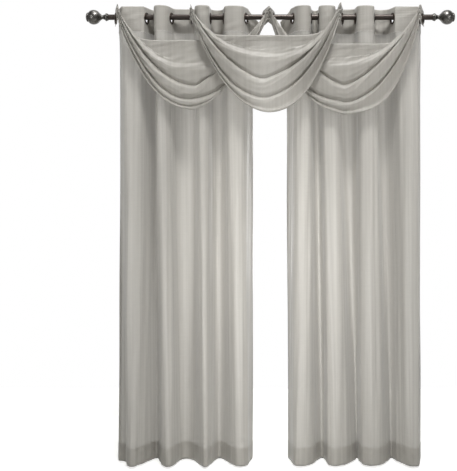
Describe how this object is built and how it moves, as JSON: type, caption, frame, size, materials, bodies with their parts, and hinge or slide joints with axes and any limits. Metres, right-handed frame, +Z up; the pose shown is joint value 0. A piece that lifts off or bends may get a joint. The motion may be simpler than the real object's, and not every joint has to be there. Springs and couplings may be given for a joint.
{
  "type": "pair of sheer grommet curtains with swag valances on a finial rod",
  "caption": "Two floor-length sheer curtain panels hung by ring eyelets on a slim dark rod with ball finials, under three overlapping cowl-draped swag valances.",
  "frame": {"origin": "on the rod's axis at mid-length", "axes": "+Z up, +X along the rod to the viewer's right, +Y towards the wall; the room side faces -Y"},
  "size_m": [1.7272, 0.2162, 2.149],
  "materials": {
    "sheer_voile": "crushed grey-beige polyester voile, sheer, matte with a faint sheen",
    "heading_voile": "the same voile folded double over a stiff band and stitched, nearly opaque",
    "swag_voile": "the same voile, crushed and draped in deep soft folds",
    "rod_bronze": "dark oil-rubbed bronze powder coat, satin",
    "finial_pewter": "dark polished pewter plate, bright highlights with a darker rubbed tone in the grooves",
    "grommet_bronze": "dark bronze plated snap ring, satin"
  },
  "bodies": {
    "root": {"rod": "rod_bronze", "finial_collar_left": "finial_pewter", "finial_ball_left": "finial_pewter", "finial_cap_left": "finial_pewter", "finial_collar_right": "finial_pewter", "finial_ball_right": "finial_pewter", "finial_cap_right": "finial_pewter", "panel_left": "sheer_voile", "heading_left": "heading_voile", "panel_left_grommet_1": "grommet_bronze", "panel_left_grommet_2": "grommet_bronze", "panel_left_grommet_3": "grommet_bronze", "panel_left_grommet_4": "grommet_bronze", "panel_left_grommet_5": "grommet_bronze", "panel_left_grommet_6": "grommet_bronze", "panel_left_grommet_7": "grommet_bronze", "panel_left_grommet_8": "grommet_bronze", "panel_right": "sheer_voile", "heading_right": "heading_voile", "panel_right_grommet_1": "grommet_bronze", "panel_right_grommet_2": "grommet_bronze", "panel_right_grommet_3": "grommet_bronze", "panel_right_grommet_4": "grommet_bronze", "panel_right_grommet_5": "grommet_bronze", "panel_right_grommet_6": "grommet_bronze", "panel_right_grommet_7": "grommet_bronze", "panel_right_grommet_8": "grommet_bronze", "swag_left": "swag_voile", "swag_left_grommet_1": "grommet_bronze", "swag_left_grommet_2": "grommet_bronze", "swag_middle": "swag_voile", "swag_middle_grommet_1": "grommet_bronze", "swag_middle_grommet_2": "grommet_bronze", "swag_right": "swag_voile", "swag_right_grommet_1": "grommet_bronze", "swag_right_grommet_2": "grommet_bronze"}
  },
  "joints": []
}
